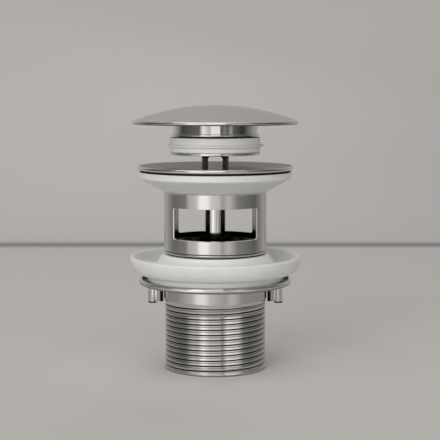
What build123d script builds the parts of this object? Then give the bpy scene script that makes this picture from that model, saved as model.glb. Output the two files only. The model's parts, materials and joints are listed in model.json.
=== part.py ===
"""Sprung plug basin waste: a flanged waste body with overflow windows, its seals and ring nut,
a tail piece for the trap, and a push plug that a spring lifts and a turning latch holds down.

Millimetres. The origin is the centre of the tail's bottom end, and +Z runs up the waste's axis.
"""

from build123d import *
import os

# Driving dimensions. Radii step out from the tail's radius by named walls and clearances,
# and heights are lengths of single features, stacked up further below.

# Tail piece
tail_radius = 20.75
tail_thread_length = 27.1
tail_relief_length = 1.2
tail_relief_depth = 0.5
tail_band_length = 5.9
tail_edge = 0.4
socket_wall = 1.65
socket_depth = 13.7
gasket_thickness = 1.4
gasket_inset = 0.15
thread_clearance = 0.1

# Ring nut
nut_width = 11.65
nut_bead_radius = 1.15
nut_floor_thickness = 1.2
nut_hub_wall = 3.1
nut_hub_height = 3.8
lug_count = 2
lug_offset = 4.75
lug_post_radius = 1.7
lug_post_length = 8.1
lug_post_edge = 0.5
lug_web_length = 7.5
lug_web_thickness = 2.4
lug_tail_gap = 1.05

# Slip washer
washer_inset = 3.45
washer_thickness = 3.0
washer_clearance = 0.2
washer_edge = 0.5

# Cup seal
cup_overhang = 3.65
cup_belly_width = 4.8
cup_belly_height = 6.2
cup_wall = 1.9
cup_hub_wall = 2.1
cup_hub_spread = 4.2
cup_hub_height = 7.9

# Waste body
neck_wall = 1.6
neck_step = 1.66
tube_wall = 1.86
tube_edge = 0.3
collar_gap = 0.6
collar_inset = 0.21
collar_height = 0.7
groove_depth = 0.76
groove_height = 1.45
lower_band_height = 4.1
window_height = 12.55
window_pillar = 4.56
window_corner = 0.8
upper_band_height = 5.9
flange_width = 10.74
flange_thickness = 1.6
flange_dish = 1.3
flange_shoulder = 4.2
seat_slope = 0.45
seat_clearance = 0.35
seat_wall = 1.6
spider_thickness = 3.0
spider_boss_wall = 3.4
spider_arm_width = 3.4
spider_arm_count = 4
spider_root = 0.6

# Flange seal
flange_seal_height = 8.5
flange_seal_inset = 0.9
flange_seal_gap = 0.75
flange_seal_ledge = 4.2
flange_seal_band = 2.35
flange_seal_chamfer = 0.5
flange_seal_tip = 0.35
seal_clearance = 0.1

# Plug
plug_lift = 4.5
plug_travel = 10.5
retainer_clearance = 0.7
retainer_thickness = 1.0
retainer_hub_wall = 3.75
retainer_hub_height = 5.2
retainer_edge = 0.3
spanner_hole_radius = 1.0
spanner_hole_depth = 0.6
plug_seal_clearance = 0.8
plug_seal_height = 6.55
plug_seal_edge = 0.4
plug_seal_gap_height = 0.7
plug_seal_gap_depth = 4.0
lip_width = 1.3
lip_height = 2.55
lip_thickness = 0.7
lip_root = 0.95
neck_lip_clearance = 1.05
neck_lip_width = 0.85
neck_lip_thickness = 0.75
plug_neck_height = 3.5
boss_spigot_wall = 2.55
boss_spigot_inset = 0.2
cap_overhang = 2.0
cap_edge_height = 1.7
cap_rise = 6.1
cap_wall = 2.3
cap_land_width = 3.1
cap_rim_width = 3.4
cap_rim_lift = 0.2
stud_radius = 3.0
stud_in_boss = 4.0
stud_in_cap = 4.4
fit_clearance = 0.05
end_clearance = 0.2

# Guide post, sliding sleeve and latch
post_radius = 4.15
post_wall = 1.2
post_spigot_radius = 3.0
post_floor = 2.2
post_edge = 0.3
slide_clearance = 0.1
nut_wall = 1.9
nut_thickness = 3.0
spigot_tip = 0.6
post_washer_width = 2.9
post_washer_thickness = 0.8
sleeve_wall = 1.15
sleeve_dip = 1.0
sleeve_spigot_length = 6.2
sleeve_window_drop = 3.2
sleeve_window_headroom = 0.2
sleeve_leg_width = 2.5
sleeve_window_corner = 1.2
pin_radius = 1.0
pin_below_window = 5.0
pin_recess = 0.1
pin_clearance = 0.02
slot_clearance = 0.3
plunger_above_pin = 1.6
plunger_below_pin = 3.0
plunger_nose_wall = 0.2
plunger_nose_length = 1.5
stem_radius = 1.3
rotor_clearance = 0.2
rotor_height = 1.9
rotor_gap = 0.1
rotor_tooth_count = 6
rotor_tooth_width = 0.7
rotor_tooth_depth = 0.6
cam_gap = 0.4
cam_thickness = 1.7
spring_wire_radius = 0.3
spring_side_clearance = 0.25
spring_turns = 8

# Radii, from the tail outwards and from the guide post outwards
socket_radius = tail_radius - socket_wall
neck_radius = socket_radius - thread_clearance
neck_bore_radius = neck_radius - neck_wall
tube_radius = neck_radius + neck_step
bore_radius = tube_radius - tube_wall
collar_radius = tube_radius - collar_inset
groove_radius = tube_radius - groove_depth
flange_radius = tube_radius + flange_width
flange_seal_radius = flange_radius - flange_seal_inset
flange_seal_step_radius = flange_seal_radius - flange_seal_ledge
nut_hub_radius = socket_radius + nut_hub_wall
nut_radius = socket_radius + nut_width
washer_radius = nut_radius - washer_inset
lug_circle_radius = tail_radius + lug_offset
cup_radius = nut_radius + cup_overhang
cup_bore_radius = neck_radius + seal_clearance
cup_hub_radius = cup_bore_radius + cup_hub_wall
cup_hub_foot_radius = cup_hub_radius + cup_hub_spread
cap_radius = flange_radius + cap_overhang
retainer_radius = bore_radius - retainer_clearance
plug_seal_radius = bore_radius - plug_seal_clearance
lip_radius = plug_seal_radius + lip_width
neck_lip_radius = bore_radius - neck_lip_clearance
plug_neck_radius = neck_lip_radius - neck_lip_width
cap_land_radius = plug_neck_radius + cap_land_width
post_bore_radius = post_radius - post_wall
post_hole_radius = post_spigot_radius + thread_clearance
spider_boss_radius = post_hole_radius + spider_boss_wall
post_washer_radius = post_hole_radius + post_washer_width
sleeve_bore_radius = post_radius + slide_clearance
sleeve_radius = sleeve_bore_radius + sleeve_wall
sleeve_socket_radius = sleeve_radius + fit_clearance
boss_spigot_radius = sleeve_socket_radius + boss_spigot_wall
retainer_bore_radius = boss_spigot_radius + fit_clearance
retainer_hub_radius = retainer_bore_radius + retainer_hub_wall
plug_seal_bore_radius = retainer_hub_radius + seal_clearance
stud_hole_radius = stud_radius + fit_clearance
rotor_radius = post_bore_radius - rotor_clearance
spring_radius = post_bore_radius - spring_side_clearance - spring_wire_radius
plunger_nose_radius = spring_radius - spring_wire_radius - plunger_nose_wall

# Heights above the tail's bottom end
relief_top = tail_thread_length + tail_relief_length
tail_top = relief_top + tail_band_length
socket_floor = tail_top - socket_depth
neck_bottom = socket_floor + gasket_thickness
nut_floor_top = tail_top + nut_floor_thickness
washer_top = nut_floor_top + washer_thickness
cup_widest = washer_top + cup_belly_height
cup_hub_top = washer_top + cup_hub_height
collar_bottom = cup_hub_top + collar_gap
collar_top = collar_bottom + collar_height
tube_bottom = collar_top + groove_height
window_bottom = tube_bottom + lower_band_height
window_top = window_bottom + window_height
seal_foot = window_top + upper_band_height
flange_bottom = seal_foot + flange_seal_height
flange_top = flange_bottom + flange_thickness
retainer_bottom = flange_top + plug_lift
retainer_top = retainer_bottom + retainer_thickness
plug_seal_top = retainer_top + plug_seal_height
neck_lip_top = plug_seal_top + neck_lip_thickness
cap_bottom = neck_lip_top + plug_neck_height
cap_edge_top = cap_bottom + cap_edge_height
cap_apex = cap_edge_top + cap_rise

# The plug's conical seat, which clears the plug seal's lip at the end of its travel
lip_middle = retainer_top + lip_height
seat_gauge = lip_middle - lip_root / 2 - plug_travel
seat_gauge_radius = lip_radius + seat_clearance
mouth_top = flange_top - flange_dish
mouth_radius = seat_gauge_radius + (mouth_top - seat_gauge) * seat_slope
seat_foot = seat_gauge - (seat_gauge_radius - bore_radius) / seat_slope
cone_foot = seat_gauge - (seat_gauge_radius + seat_wall - tube_radius) / seat_slope
cone_head_radius = mouth_radius + flange_shoulder

# Guide post and latch heights, with the plug raised
spider_top = tube_bottom
spider_bottom = spider_top - spider_thickness
post_washer_bottom = spider_bottom - post_washer_thickness
post_nut_bottom = post_washer_bottom - nut_thickness
spring_seat = spider_top + post_floor
sleeve_bottom = window_top - sleeve_dip
sleeve_window_bottom = flange_top - sleeve_window_drop
sleeve_window_top = retainer_bottom - sleeve_window_headroom
sleeve_top = retainer_bottom + sleeve_spigot_length
pin_height = sleeve_window_bottom - pin_below_window
plunger_top = pin_height + plunger_above_pin
plunger_bottom = pin_height - plunger_below_pin
rotor_bottom = plunger_top + rotor_gap
rotor_top = rotor_bottom + rotor_height
cam_bottom = rotor_top + cam_gap
post_top = cam_bottom + cam_thickness
slot_half_width = pin_radius + slot_clearance
slot_top = pin_height + slot_half_width
slot_bottom = pin_height - plug_travel - slot_half_width

os.makedirs("parts", exist_ok=True)


# Tail piece: trap thread's cylinder, relief, plain band and the socket for the body's neck
with BuildPart() as tail_piece:
    with BuildSketch(Plane.XZ):
        with BuildLine():
            Polyline(
                (neck_bore_radius, 0),
                (tail_radius - tail_edge, 0),
                (tail_radius, tail_edge),
                (tail_radius, tail_thread_length),
                (tail_radius - tail_relief_depth, tail_thread_length),
                (tail_radius - tail_relief_depth, relief_top),
                (tail_radius, relief_top),
                (tail_radius, tail_top - tail_edge),
                (tail_radius - tail_edge, tail_top),
                (socket_radius, tail_top),
                (socket_radius, socket_floor),
                (neck_bore_radius, socket_floor),
                close=True,
            )
        make_face()
    revolve(axis=Axis.Z)
tail_piece.part.label = "tail_piece"
export_step(tail_piece.part, "parts/tail_piece.step")


# Gasket between the tail's socket floor and the neck's end
with BuildPart() as tail_gasket:
    with BuildSketch(Plane.XY.offset(socket_floor)):
        Circle(neck_radius)
        Circle(neck_bore_radius + gasket_inset, mode=Mode.SUBTRACT)
    extrude(amount=gasket_thickness)
tail_gasket.part.label = "tail_gasket"
export_step(tail_gasket.part, "parts/tail_gasket.step")


# Ring nut: threaded hub, dished floor, round bead rim, and lugs to turn it by hand
bead_circle_radius = nut_radius - nut_bead_radius
lug_web_inner_radius = tail_radius + lug_tail_gap
with BuildPart() as ring_nut:
    with BuildSketch(Plane.XZ):
        with BuildLine():
            Polyline(
                (socket_radius, tail_top),
                (bead_circle_radius, tail_top),
                (bead_circle_radius, nut_floor_top),
                (nut_hub_radius, nut_floor_top),
                (nut_hub_radius, tail_top + nut_hub_height),
                (socket_radius, tail_top + nut_hub_height),
                close=True,
            )
        make_face()
        with Locations((bead_circle_radius, tail_top + nut_bead_radius)):
            Circle(nut_bead_radius)
    revolve(axis=Axis.Z)
    with BuildSketch(Plane.XY.offset(tail_top)):
        with PolarLocations((lug_web_inner_radius + lug_circle_radius) / 2, lug_count):
            SlotOverall(lug_circle_radius - lug_web_inner_radius, lug_web_thickness)
    extrude(amount=-lug_web_length)
    with BuildSketch(Plane.XY.offset(tail_top)):
        with PolarLocations(lug_circle_radius, lug_count):
            Circle(lug_post_radius)
    extrude(amount=-lug_post_length)
    lug_ends = ring_nut.edges().filter_by(GeomType.CIRCLE).group_by(Axis.Z)[0]
    fillet(lug_ends, lug_post_edge)
ring_nut.part.label = "ring_nut"
export_step(ring_nut.part, "parts/ring_nut.step")


# Slip washer that lets the nut turn under the cup seal
with BuildPart() as slip_washer:
    with BuildSketch(Plane.XY.offset(nut_floor_top)):
        Circle(washer_radius)
        Circle(nut_hub_radius + washer_clearance, mode=Mode.SUBTRACT)
    extrude(amount=washer_thickness)
    washer_rims = slip_washer.edges().filter_by(GeomType.CIRCLE).sort_by(SortBy.RADIUS)[-2:]
    fillet(washer_rims, washer_edge)
slip_washer.part.label = "slip_washer"
export_step(slip_washer.part, "parts/slip_washer.step")


# Cup seal: conical hub round the neck and a bowl that presses on the basin's underside
belly_radius = cup_radius - cup_belly_width
cup_floor_top = washer_top + cup_wall
with BuildPart() as cup_seal:
    with BuildSketch(Plane.XZ):
        with BuildLine():
            belly = EllipticalCenterArc(
                (belly_radius, cup_widest),
                cup_belly_width,
                cup_belly_height,
                start_angle=270,
                arc_size=90,
            )
            bowl = EllipticalCenterArc(
                (belly_radius, cup_widest),
                cup_belly_width - cup_wall,
                cup_belly_height - cup_wall,
                start_angle=270,
                arc_size=90,
            )
            ThreePointArc(
                belly @ 1,
                (cup_radius - cup_wall / 2, cup_widest + cup_wall / 2),
                bowl @ 1,
            )
            Polyline(
                bowl @ 0,
                (cup_hub_foot_radius, cup_floor_top),
                (cup_hub_radius, cup_hub_top),
                (cup_bore_radius, cup_hub_top),
                (cup_bore_radius, washer_top),
                belly @ 0,
            )
        make_face()
    revolve(axis=Axis.Z)
cup_seal.part.label = "cup_seal"
export_step(cup_seal.part, "parts/cup_seal.step")


# Waste body: neck, collar, tube with two overflow windows, dished flange, plug seat and spider
with BuildPart() as upper_body:
    with BuildSketch(Plane.XZ):
        with BuildLine():
            rim_line = flange_radius - flange_thickness / 2
            outside = Polyline(
                (neck_bore_radius, neck_bottom),
                (neck_radius, neck_bottom),
                (neck_radius, collar_bottom),
                (collar_radius, collar_bottom),
                (collar_radius, collar_top),
                (groove_radius, collar_top),
                (groove_radius, tube_bottom),
                (tube_radius - tube_edge, tube_bottom),
                (tube_radius, tube_bottom + tube_edge),
                (tube_radius, cone_foot),
                (cone_head_radius, flange_bottom),
                (rim_line, flange_bottom),
            )
            rim = ThreePointArc(
                outside @ 1,
                (flange_radius, (flange_bottom + flange_top) / 2),
                (rim_line, flange_top),
            )
            Polyline(
                rim @ 1,
                (mouth_radius, mouth_top),
                (bore_radius, seat_foot),
                (bore_radius, spider_top + tube_wall),
                (neck_bore_radius, spider_top),
                outside @ 0,
            )
        make_face()
    revolve(axis=Axis.Z)
    with BuildSketch(Plane.XZ):
        with Locations((0, (window_bottom + window_top) / 2)):
            RectangleRounded(2 * (tube_radius - window_pillar), window_height, window_corner)
    extrude(amount=2 * tube_radius, both=True, mode=Mode.SUBTRACT)
    arm_reach = neck_bore_radius + spider_root
    with BuildSketch(Plane.XY.offset(spider_bottom)):
        Circle(spider_boss_radius)
        with PolarLocations(arm_reach / 2, spider_arm_count, start_angle=180 / spider_arm_count):
            Rectangle(arm_reach, spider_arm_width)
        Circle(post_hole_radius, mode=Mode.SUBTRACT)
    extrude(amount=spider_thickness)
upper_body.part.label = "upper_body"
export_step(upper_body.part, "parts/upper_body.step")


# Flange seal: soft cone under the flange, held off the flange's rim by a shadow gap
seal_band_top = flange_bottom - flange_seal_gap
seal_band_bottom = seal_band_top - flange_seal_band
with BuildPart() as flange_seal:
    with BuildSketch(Plane.XZ):
        with BuildLine():
            Polyline(
                (tube_radius + seal_clearance, seal_foot),
                (tube_radius + seal_clearance + flange_seal_tip, seal_foot),
                (flange_seal_radius - flange_seal_chamfer, seal_band_bottom - flange_seal_chamfer),
                (flange_seal_radius, seal_band_bottom),
                (flange_seal_radius, seal_band_top),
                (flange_seal_step_radius, seal_band_top),
                (flange_seal_step_radius, flange_bottom),
                (cone_head_radius + seal_clearance, flange_bottom),
                (tube_radius + seal_clearance, cone_foot),
                close=True,
            )
        make_face()
    revolve(axis=Axis.Z)
flange_seal.part.label = "flange_seal"
export_step(flange_seal.part, "parts/flange_seal.step")


# Guide post: slotted tube on the spider, with a threaded spigot below
with BuildPart() as guide_post:
    with BuildSketch(Plane.XY.offset(spider_top)):
        Circle(post_radius)
    extrude(amount=post_top - spider_top)
    post_rim = guide_post.edges().filter_by(GeomType.CIRCLE).group_by(Axis.Z)[-1]
    chamfer(post_rim, post_edge)
    with BuildSketch(Plane.XY.offset(spider_top)):
        Circle(post_spigot_radius)
    extrude(amount=post_nut_bottom - spigot_tip - spider_top)
    with BuildSketch(Plane.XY.offset(spring_seat)):
        Circle(post_bore_radius)
    extrude(amount=post_top - spring_seat, mode=Mode.SUBTRACT)
    with BuildSketch(Plane.YZ):
        with Locations((0, (slot_bottom + slot_top) / 2)):
            SlotOverall(slot_top - slot_bottom, 2 * slot_half_width, rotation=90)
    extrude(amount=2 * post_radius, both=True, mode=Mode.SUBTRACT)
guide_post.part.label = "guide_post"
export_step(guide_post.part, "parts/guide_post.step")


# Washer and nut that clamp the post under the spider
with BuildPart() as post_washer:
    with BuildSketch(Plane.XY.offset(post_washer_bottom)):
        Circle(post_washer_radius)
        Circle(post_hole_radius, mode=Mode.SUBTRACT)
    extrude(amount=post_washer_thickness)
post_washer.part.label = "post_washer"
export_step(post_washer.part, "parts/post_washer.step")

with BuildPart() as post_nut:
    with BuildSketch(Plane.XY.offset(post_nut_bottom)):
        RegularPolygon(post_hole_radius + nut_wall, 6, major_radius=False)
        Circle(post_hole_radius, mode=Mode.SUBTRACT)
    extrude(amount=nut_thickness)
post_nut.part.label = "post_nut"
export_step(post_nut.part, "parts/post_nut.step")


# Cam plug screwed into the top of the post, toothed underneath to turn the latch
with BuildPart() as cam_plug:
    with BuildSketch(Plane.XY.offset(cam_bottom)):
        Circle(post_bore_radius - fit_clearance)
    extrude(amount=cam_thickness)
    with BuildSketch(Plane.XY.offset(cam_bottom)):
        with PolarLocations(post_bore_radius, rotor_tooth_count):
            Rectangle(2 * (post_bore_radius - stem_radius), rotor_tooth_width)
    extrude(amount=rotor_tooth_depth, mode=Mode.SUBTRACT)
cam_plug.part.label = "cam_plug"
export_step(cam_plug.part, "parts/cam_plug.step")


# Return spring: closed coil at each end of the open helix
spring_start = spring_seat + spring_wire_radius
spring_end = plunger_bottom - spring_wire_radius
with BuildPart() as return_spring:
    with BuildLine():
        coil = Helix(
            pitch=(spring_end - spring_start) / spring_turns,
            height=spring_end - spring_start,
            radius=spring_radius,
            center=(0, 0, spring_start),
        )
    with BuildSketch(Plane(origin=coil @ 0, z_dir=coil % 0)):
        Circle(spring_wire_radius)
    sweep(path=coil, is_frenet=True)
    for coil_height in (spring_start, spring_end):
        with BuildSketch(Plane.XZ):
            with Locations((spring_radius, coil_height)):
                Circle(spring_wire_radius)
        revolve(axis=Axis.Z)
return_spring.part.label = "return_spring"
export_step(return_spring.part, "parts/return_spring.step")


# Plunger inside the post, pushed up by the spring and pinned to the sleeve
with BuildPart() as plunger:
    with BuildSketch(Plane.XY.offset(plunger_bottom)):
        Circle(post_bore_radius - slide_clearance)
    extrude(amount=plunger_top - plunger_bottom)
    with BuildSketch(Plane.XY.offset(plunger_bottom)):
        Circle(plunger_nose_radius)
    extrude(amount=-plunger_nose_length)
    with BuildSketch(Plane.XY.offset(plunger_top)):
        Circle(stem_radius)
    extrude(amount=rotor_top - plunger_top)
    with BuildSketch(Plane.YZ):
        with Locations((0, pin_height)):
            Circle(pin_radius + pin_clearance)
    extrude(amount=post_radius, both=True, mode=Mode.SUBTRACT)
plunger.part.label = "plunger"
export_step(plunger.part, "parts/plunger.step")


# Latch rotor: toothed ring that turns on the plunger's stem
with BuildPart() as latch_rotor:
    with BuildSketch(Plane.XY.offset(rotor_bottom)):
        Circle(rotor_radius)
        Circle(stem_radius + fit_clearance, mode=Mode.SUBTRACT)
    extrude(amount=rotor_height)
    with BuildSketch(Plane.XY.offset(rotor_top)):
        with PolarLocations(rotor_radius, rotor_tooth_count):
            Rectangle(2 * rotor_radius, rotor_tooth_width)
    extrude(amount=-rotor_tooth_depth, mode=Mode.SUBTRACT)
latch_rotor.part.label = "latch_rotor"
export_step(latch_rotor.part, "parts/latch_rotor.step")


# Sliding sleeve: tube over the post, open front and back under the plug
with BuildPart() as slide_sleeve:
    with BuildSketch(Plane.XY.offset(sleeve_bottom)):
        Circle(sleeve_radius)
        Circle(sleeve_bore_radius, mode=Mode.SUBTRACT)
    extrude(amount=sleeve_top - sleeve_bottom)
    with BuildSketch(Plane.XZ):
        with Locations((0, (sleeve_window_bottom + sleeve_window_top) / 2)):
            RectangleRounded(
                2 * (sleeve_radius - sleeve_leg_width),
                sleeve_window_top - sleeve_window_bottom,
                sleeve_window_corner,
            )
    extrude(amount=2 * sleeve_radius, both=True, mode=Mode.SUBTRACT)
    with BuildSketch(Plane.YZ):
        with Locations((0, pin_height)):
            Circle(pin_radius + pin_clearance)
    extrude(amount=2 * sleeve_radius, both=True, mode=Mode.SUBTRACT)
slide_sleeve.part.label = "slide_sleeve"
export_step(slide_sleeve.part, "parts/slide_sleeve.step")


# Cross pin through the sleeve, the post's slots and the plunger
with BuildPart() as cross_pin:
    with BuildSketch(Plane.YZ):
        with Locations((0, pin_height)):
            Circle(pin_radius)
    extrude(amount=sleeve_radius - pin_recess, both=True)
cross_pin.part.label = "cross_pin"
export_step(cross_pin.part, "parts/cross_pin.step")


# Plug boss: polished neck and lip, with the spigot that carries the seal and the sleeve
sleeve_socket_top = sleeve_top + end_clearance
stud_bottom = cap_bottom - stud_in_boss
stud_top = cap_bottom + stud_in_cap
with BuildPart() as plug_boss:
    with BuildSketch(Plane.XZ):
        with BuildLine():
            Polyline(
                (sleeve_socket_radius, retainer_bottom + boss_spigot_inset),
                (boss_spigot_radius, retainer_bottom + boss_spigot_inset),
                (boss_spigot_radius, plug_seal_top),
                (neck_lip_radius, plug_seal_top),
                (neck_lip_radius, neck_lip_top),
                (plug_neck_radius, neck_lip_top),
                (plug_neck_radius, cap_bottom),
                (stud_hole_radius, cap_bottom),
                (stud_hole_radius, stud_bottom - end_clearance),
                (0, stud_bottom - end_clearance),
                (0, sleeve_socket_top),
                (sleeve_socket_radius, sleeve_socket_top),
                close=True,
            )
        make_face()
    revolve(axis=Axis.Z)
plug_boss.part.label = "plug_boss"
export_step(plug_boss.part, "parts/plug_boss.step")


# Seal retainer: ring screwed up the boss's spigot, with two blind holes for a pin spanner
with BuildPart() as seal_retainer:
    with BuildSketch(Plane.XY.offset(retainer_bottom)):
        Circle(retainer_radius)
    extrude(amount=retainer_thickness)
    rim_edges = seal_retainer.edges().filter_by(GeomType.CIRCLE)
    fillet(rim_edges, retainer_edge)
    with BuildSketch(Plane.XY.offset(retainer_top)):
        Circle(retainer_hub_radius)
    extrude(amount=retainer_hub_height)
    with BuildSketch(Plane.XY.offset(retainer_bottom)):
        Circle(retainer_bore_radius)
    extrude(amount=retainer_thickness + retainer_hub_height, mode=Mode.SUBTRACT)
    with BuildSketch(Plane.XY.offset(retainer_bottom)):
        with PolarLocations((retainer_hub_radius + retainer_radius) / 2, 2):
            Circle(spanner_hole_radius)
    extrude(amount=spanner_hole_depth, mode=Mode.SUBTRACT)
seal_retainer.part.label = "seal_retainer"
export_step(seal_retainer.part, "parts/seal_retainer.step")


# Plug seal: soft ring with one thin sealing lip, and a shadow gap under the boss's lip
seal_shoulder = plug_seal_top - plug_seal_gap_height
seal_step_radius = plug_seal_radius - plug_seal_gap_depth
with BuildPart() as plug_seal:
    with BuildSketch(Plane.XZ):
        with BuildLine():
            Polyline(
                (plug_seal_bore_radius, retainer_top),
                (plug_seal_radius - plug_seal_edge, retainer_top),
                (plug_seal_radius, retainer_top + plug_seal_edge),
                (plug_seal_radius, lip_middle - lip_root / 2),
                (lip_radius, lip_middle - lip_thickness / 2),
                (lip_radius, lip_middle + lip_thickness / 2),
                (plug_seal_radius, lip_middle + lip_root / 2),
                (plug_seal_radius, seal_shoulder - plug_seal_edge),
                (plug_seal_radius - plug_seal_edge, seal_shoulder),
                (seal_step_radius, seal_shoulder),
                (seal_step_radius, plug_seal_top),
                (plug_seal_bore_radius, plug_seal_top),
                close=True,
            )
        make_face()
    revolve(axis=Axis.Z)
plug_seal.part.label = "plug_seal"
export_step(plug_seal.part, "parts/plug_seal.step")


# Plug cap: shallow dome with a rounded rim, hollowed underneath round its threaded land
dome_edge_radius = cap_radius - cap_edge_height / 2
dome_radius = (dome_edge_radius**2 + cap_rise**2) / (2 * cap_rise)
hollow_radius = cap_radius - cap_rim_width
dome_centre = cap_apex - dome_radius
ceiling_radius = dome_radius - cap_wall
hollow_edge_top = dome_centre + (ceiling_radius**2 - hollow_radius**2) ** 0.5
hollow_land_top = dome_centre + (ceiling_radius**2 - cap_land_radius**2) ** 0.5
rim_bottom = cap_bottom + cap_rim_lift
with BuildPart() as plug_cap:
    with BuildSketch(Plane.XZ):
        with BuildLine():
            dome = RadiusArc((0, cap_apex), (dome_edge_radius, cap_edge_top), dome_radius)
            cap_rim = ThreePointArc(
                dome @ 1,
                (cap_radius, (rim_bottom + cap_edge_top) / 2),
                (dome_edge_radius, rim_bottom),
            )
            edge = Polyline(
                cap_rim @ 1,
                (hollow_radius, rim_bottom),
                (hollow_radius, hollow_edge_top),
            )
            ceiling = RadiusArc(edge @ 1, (cap_land_radius, hollow_land_top), -ceiling_radius)
            Polyline(
                ceiling @ 1,
                (cap_land_radius, cap_bottom),
                (stud_hole_radius, cap_bottom),
                (stud_hole_radius, stud_top + end_clearance),
                (0, stud_top + end_clearance),
                dome @ 0,
            )
        make_face()
    revolve(axis=Axis.Z)
plug_cap.part.label = "plug_cap"
export_step(plug_cap.part, "parts/plug_cap.step")


# Stud that joins the cap to the boss
with BuildPart() as plug_stud:
    with BuildSketch(Plane.XY.offset(stud_bottom)):
        Circle(stud_radius)
    extrude(amount=stud_top - stud_bottom)
plug_stud.part.label = "plug_stud"
export_step(plug_stud.part, "parts/plug_stud.step")
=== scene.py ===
"""Looks of the sprung plug basin waste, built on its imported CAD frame.

Profiles are given in millimetres as (radius, height) round the waste's axis, and MM turns them into
metres. Overall sizes come from the frame, and the named values below are the details that it lacks.
"""

import json
import math

import bmesh
import bpy
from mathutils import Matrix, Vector


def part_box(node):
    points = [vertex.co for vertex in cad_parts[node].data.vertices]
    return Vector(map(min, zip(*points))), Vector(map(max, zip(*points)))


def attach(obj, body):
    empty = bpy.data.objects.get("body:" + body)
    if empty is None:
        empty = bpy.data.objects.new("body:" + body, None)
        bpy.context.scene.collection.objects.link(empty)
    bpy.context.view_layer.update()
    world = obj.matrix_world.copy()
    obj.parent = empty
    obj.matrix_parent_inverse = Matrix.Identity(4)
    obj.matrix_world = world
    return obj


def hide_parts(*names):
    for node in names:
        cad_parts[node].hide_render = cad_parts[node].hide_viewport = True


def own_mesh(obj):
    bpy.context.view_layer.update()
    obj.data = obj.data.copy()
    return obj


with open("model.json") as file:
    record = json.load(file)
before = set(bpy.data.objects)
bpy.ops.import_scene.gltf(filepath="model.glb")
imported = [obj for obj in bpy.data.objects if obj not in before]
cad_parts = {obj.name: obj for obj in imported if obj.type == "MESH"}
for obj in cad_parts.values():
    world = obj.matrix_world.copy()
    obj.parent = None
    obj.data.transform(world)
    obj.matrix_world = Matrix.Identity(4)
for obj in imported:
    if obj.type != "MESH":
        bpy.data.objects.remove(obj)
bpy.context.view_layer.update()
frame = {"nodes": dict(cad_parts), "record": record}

MM = 0.001
SEGMENTS = 240
WELD = 0.001 * MM
SHARP_ANGLE = 35
BEVEL_ANGLE = 40

record = frame["record"]
body_of = {node: body for body, nodes in record["behaviour"]["bodies"].items() for node in nodes}
slot_of = {part["node"]: part["material_slot"] for part in record["subparts"]}


def reach(node):
    """Outer radius of a CAD node, in millimetres."""
    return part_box(node)[1].y / MM


def low(node):
    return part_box(node)[0].z / MM


def high(node):
    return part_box(node)[1].z / MM


# Mesh tools


def rounded(corners, steps=5):
    """Profile points of (radius, height, rounding) corners, each rounding drawn as an arc."""
    points = []
    for i, (radius, height, rounding) in enumerate(corners):
        corner = Vector((radius, height))
        if not rounding:
            points.append(corner)
            continue
        back = (Vector(corners[i - 1][:2]) - corner).normalized()
        ahead = (Vector(corners[(i + 1) % len(corners)][:2]) - corner).normalized()
        half = back.angle(ahead) / 2
        centre = corner + (back + ahead).normalized() * rounding / math.sin(half)
        start = corner + back * rounding / math.tan(half) - centre
        end = corner + ahead * rounding / math.tan(half) - centre
        turns = (start.slerp(end, step / steps) for step in range(steps + 1))
        points.extend(centre + turn * rounding for turn in turns)
    return points


def arc(centre, radii, first, last, steps=12):
    """Profile points on an ellipse's arc, with angles in degrees from outwards to upwards."""
    angles = [math.radians(first + (last - first) * step / steps) for step in range(steps + 1)]
    return [
        Vector((centre[0] + radii[0] * math.cos(a), centre[1] + radii[1] * math.sin(a)))
        for a in angles
    ]


def revolve(name, rows):
    """Closed mesh of a profile turned round the axis. Rows are points, or functions of the turn."""
    bm = bmesh.new()
    grid = []
    for row in rows:
        ring = []
        for column in range(SEGMENTS + 1):
            turn = column / SEGMENTS
            radius, height = row(turn) if callable(row) else row
            angle = 2 * math.pi * turn
            spot = (radius * math.cos(angle), radius * math.sin(angle), height)
            ring.append(bm.verts.new(Vector(spot) * MM))
        grid.append(ring)
    for lower, upper in zip(grid, grid[1:] + grid[:1]):
        for column in range(SEGMENTS):
            bm.faces.new((lower[column], lower[column + 1], upper[column + 1], upper[column]))
    return to_object(name, bm)


def to_object(name, bm):
    """Object of a bmesh, welded and turned the right way out."""
    bmesh.ops.remove_doubles(bm, verts=bm.verts, dist=WELD)
    bmesh.ops.dissolve_degenerate(bm, edges=bm.edges, dist=WELD)
    loose = [edge for edge in bm.edges if not edge.link_faces]
    bmesh.ops.delete(bm, geom=loose, context="EDGES")
    bmesh.ops.recalc_face_normals(bm, faces=bm.faces)
    mesh = bpy.data.meshes.new(name)
    bm.to_mesh(mesh)
    bm.free()
    piece = bpy.data.objects.new(name, mesh)
    bpy.context.scene.collection.objects.link(piece)
    return piece


def prism(outline, direction, first, last):
    """Closed prism of an outline of 3D points, run along direction from first to last."""
    bm = bmesh.new()
    ends = []
    for along in (first, last):
        ends.append([bm.verts.new((point + direction * along) * MM) for point in outline])
    bm.faces.new(ends[0])
    bm.faces.new(ends[1])
    for i in range(len(outline)):
        j = (i + 1) % len(outline)
        bm.faces.new((ends[0][i], ends[0][j], ends[1][j], ends[1][i]))
    return to_object("tool", bm)


def window_tool(width, bottom, top, corner, front=1, back=1):
    """Prism along Y with rounded corners, to cut a window in front of the axis or behind it."""
    half = width / 2
    outline = rounded(
        [(-half, bottom, corner), (half, bottom, corner), (half, top, corner), (-half, top, corner)]
    )
    far = reach("upper_body")
    face = [Vector((p.x, 0, p.y)) for p in outline]
    return prism(face, Vector((0, 1, 0)), -far * front, far * back)


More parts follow.
